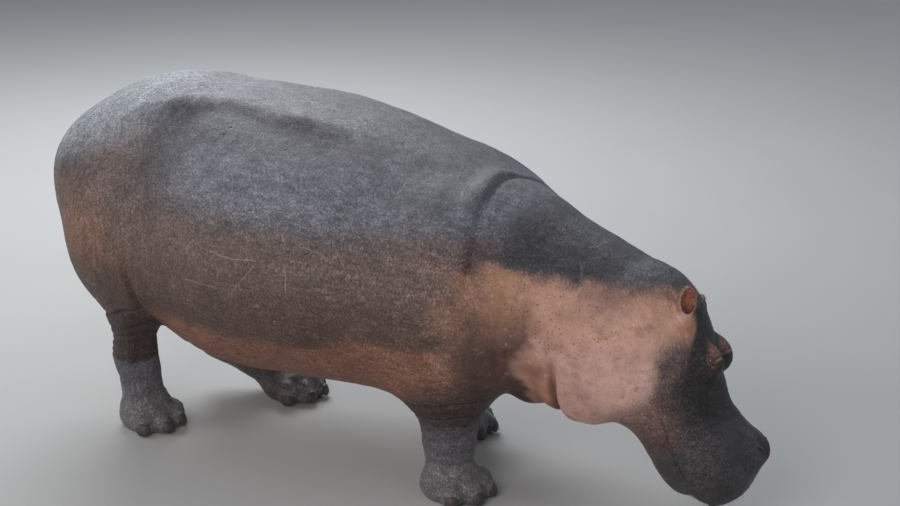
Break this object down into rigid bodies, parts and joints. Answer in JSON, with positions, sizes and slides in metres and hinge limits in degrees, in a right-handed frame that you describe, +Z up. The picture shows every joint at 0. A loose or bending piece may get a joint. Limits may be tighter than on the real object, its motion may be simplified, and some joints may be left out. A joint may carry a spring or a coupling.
{
  "type": "hippopotamus",
  "caption": "Life-size still model of an adult common hippopotamus, walking with its head lowered and its lips near the ground.",
  "frame": {"origin": "middle of the bounding box's footprint, on the floor that the soles stand on", "axes": "+X from tail to head, +Z up, the animal's right side towards -Y"},
  "size_m": [3.1284, 1.2584, 1.3836],
  "materials": {
    "hide": "bare, finely creased, slightly moist skin: grey-brown above, pink to orange-brown below, on the cheeks and round the eyes and ears",
    "keratin": "dull horn, as on the toenails and bristles",
    "eye": "wet, dark brown"
  },
  "bodies": {
    "root": {"ear_left": "hide", "ear_right": "hide", "eye_left": "eye", "eye_right": "eye", "foot_front_left": "hide", "foot_front_right": "hide", "foot_hind_left": "hide", "foot_hind_right": "hide", "head": "hide", "leg_front_left": "hide", "leg_front_right": "hide", "leg_hind_left": "hide", "leg_hind_right": "hide", "lower_jaw": "hide", "nail_front_left_1": "keratin", "nail_front_left_2": "keratin", "nail_front_left_3": "keratin", "nail_front_left_4": "keratin", "nail_front_right_1": "keratin", "nail_front_right_2": "keratin", "nail_front_right_3": "keratin", "nail_front_right_4": "keratin", "nail_hind_left_1": "keratin", "nail_hind_left_2": "keratin", "nail_hind_left_3": "keratin", "nail_hind_left_4": "keratin", "nail_hind_right_1": "keratin", "nail_hind_right_2": "keratin", "nail_hind_right_3": "keratin", "nail_hind_right_4": "keratin", "neck": "hide", "tail": "hide", "trunk": "hide"}
  },
  "joints": []
}
